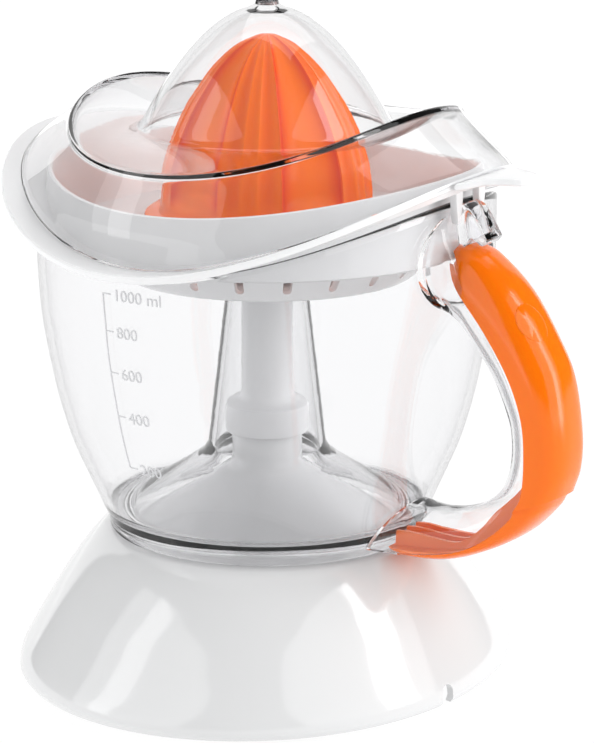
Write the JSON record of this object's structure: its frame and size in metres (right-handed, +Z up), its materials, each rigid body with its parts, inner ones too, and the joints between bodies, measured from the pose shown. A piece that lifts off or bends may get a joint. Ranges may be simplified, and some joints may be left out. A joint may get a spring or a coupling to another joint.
{
  "type": "citrus press juicer",
  "caption": "Electric citrus press: domed motor base with a gear train, clear handled measuring jug, slotted strainer with a wavy rim, ribbed reamer cone and clear domed cover.",
  "frame": {"origin": "middle of the outline in plan, on the surface the feet stand on; the drive axis is 15.4 mm from it towards -X", "axes": "+Z up along the drive shaft; +X towards the jug's handle; +Y to the left of the handle, seen from above"},
  "size_m": [0.208, 0.186, 0.2292],
  "materials": {
    "housing_white": "smooth gloss",
    "plate_white": "plain moulded",
    "strainer_white": "satin gloss",
    "dark_rubber": "matt",
    "steel": "plain",
    "brass": "machined",
    "copper_wire": "enamelled winding",
    "gear_plastic": "plain moulded",
    "dark_plastic": "plain moulded",
    "button_red": "plain moulded",
    "orange_plastic": "smooth gloss",
    "clear_plastic": "clear, polished"
  },
  "bodies": {
    "base": {"base_housing": "housing_white", "base_plate": "plate_white", "cord_gland": "dark_rubber", "rubber_foot_1": "dark_rubber", "rubber_foot_2": "dark_rubber", "rubber_foot_3": "dark_rubber", "rubber_foot_4": "dark_rubber", "base_screw_1": "steel", "base_screw_2": "steel", "base_screw_3": "steel", "base_screw_4": "steel", "motor_can": "steel", "motor_end_plate": "steel", "motor_coil": "copper_wire", "motor_screw_1": "steel", "motor_screw_2": "steel", "idler_pin": "steel", "gear_bush": "brass", "boss_bush": "brass", "return_spring": "steel", "micro_switch": "dark_plastic"},
    "output_wheel": {"output_gear": "gear_plastic", "gear_clip": "steel"},
    "idler_wheel": {"idler_gear": "gear_plastic"},
    "motor_armature": {"motor_rotor": "dark_plastic", "motor_shaft": "steel", "motor_pinion": "brass"},
    "press_line": {"drive_rod": "steel", "thrust_disc": "gear_plastic", "drive_shaft": "housing_white"},
    "button": {"switch_button": "button_red"},
    "jug": {"jug_bowl": "clear_plastic", "jug_handle": "clear_plastic", "handle_grip": "orange_plastic", "grip_badge": "orange_plastic"},
    "strainer_unit": {"strainer": "strainer_white", "strainer_floor": "strainer_white"},
    "reamer": {"cone": "orange_plastic", "cone_hub": "orange_plastic", "cone_skirt": "orange_plastic"},
    "cover_unit": {"cover": "clear_plastic"}
  },
  "joints": [
    {"name": "drive_spin", "type": "hinge", "parent": "base", "child": "output_wheel", "pos_m": [-0.01542, 0, 0.035], "axis": [0, 0, 1], "continuous": true},
    {"name": "idler_spin", "type": "hinge", "parent": "base", "child": "idler_wheel", "pos_m": [-0.02868, -0.0248, 0.038], "axis": [0, 0, 1], "continuous": true},
    {"name": "motor_spin", "type": "hinge", "parent": "base", "child": "motor_armature", "pos_m": [-0.01542, -0.046, 0.03], "axis": [0, 0, 1], "continuous": true},
    {"name": "press", "type": "slide", "parent": "output_wheel", "child": "press_line", "axis": [0, 0, -1], "range_m": [0, 0.0025], "stiffness_N_per_m": 2000, "springref_m": -0.003, "deforming": ["return_spring"]},
    {"name": "button_press", "type": "slide", "parent": "base", "child": "button", "axis": [0, 0, -1], "range_m": [0, 0.0025]},
    {"name": "jug_lift", "type": "slide", "parent": "base", "child": "jug", "axis": [0, 0, 1], "range_m": [0, 0.15]},
    {"name": "strainer_lift", "type": "slide", "parent": "jug", "child": "strainer_unit", "axis": [0, 0, 1], "range_m": [0, 0.06]},
    {"name": "cover_lift", "type": "slide", "parent": "strainer_unit", "child": "cover_unit", "axis": [0, 0, 1], "range_m": [0, 0.08]},
    {"name": "cone_spin", "type": "hinge", "parent": "strainer_unit", "child": "reamer", "pos_m": [-0.01542, 0, 0.18], "axis": [0, 0, 1], "continuous": true}
  ],
  "couplings": [
    {"joint": "idler_spin", "follows": "drive_spin", "ratio": -3.5},
    {"joint": "motor_spin", "follows": "drive_spin", "ratio": 14},
    {"joint": "cone_spin", "follows": "drive_spin", "ratio": 1},
    {"joint": "button_press", "follows": "press", "ratio": 1}
  ]
}
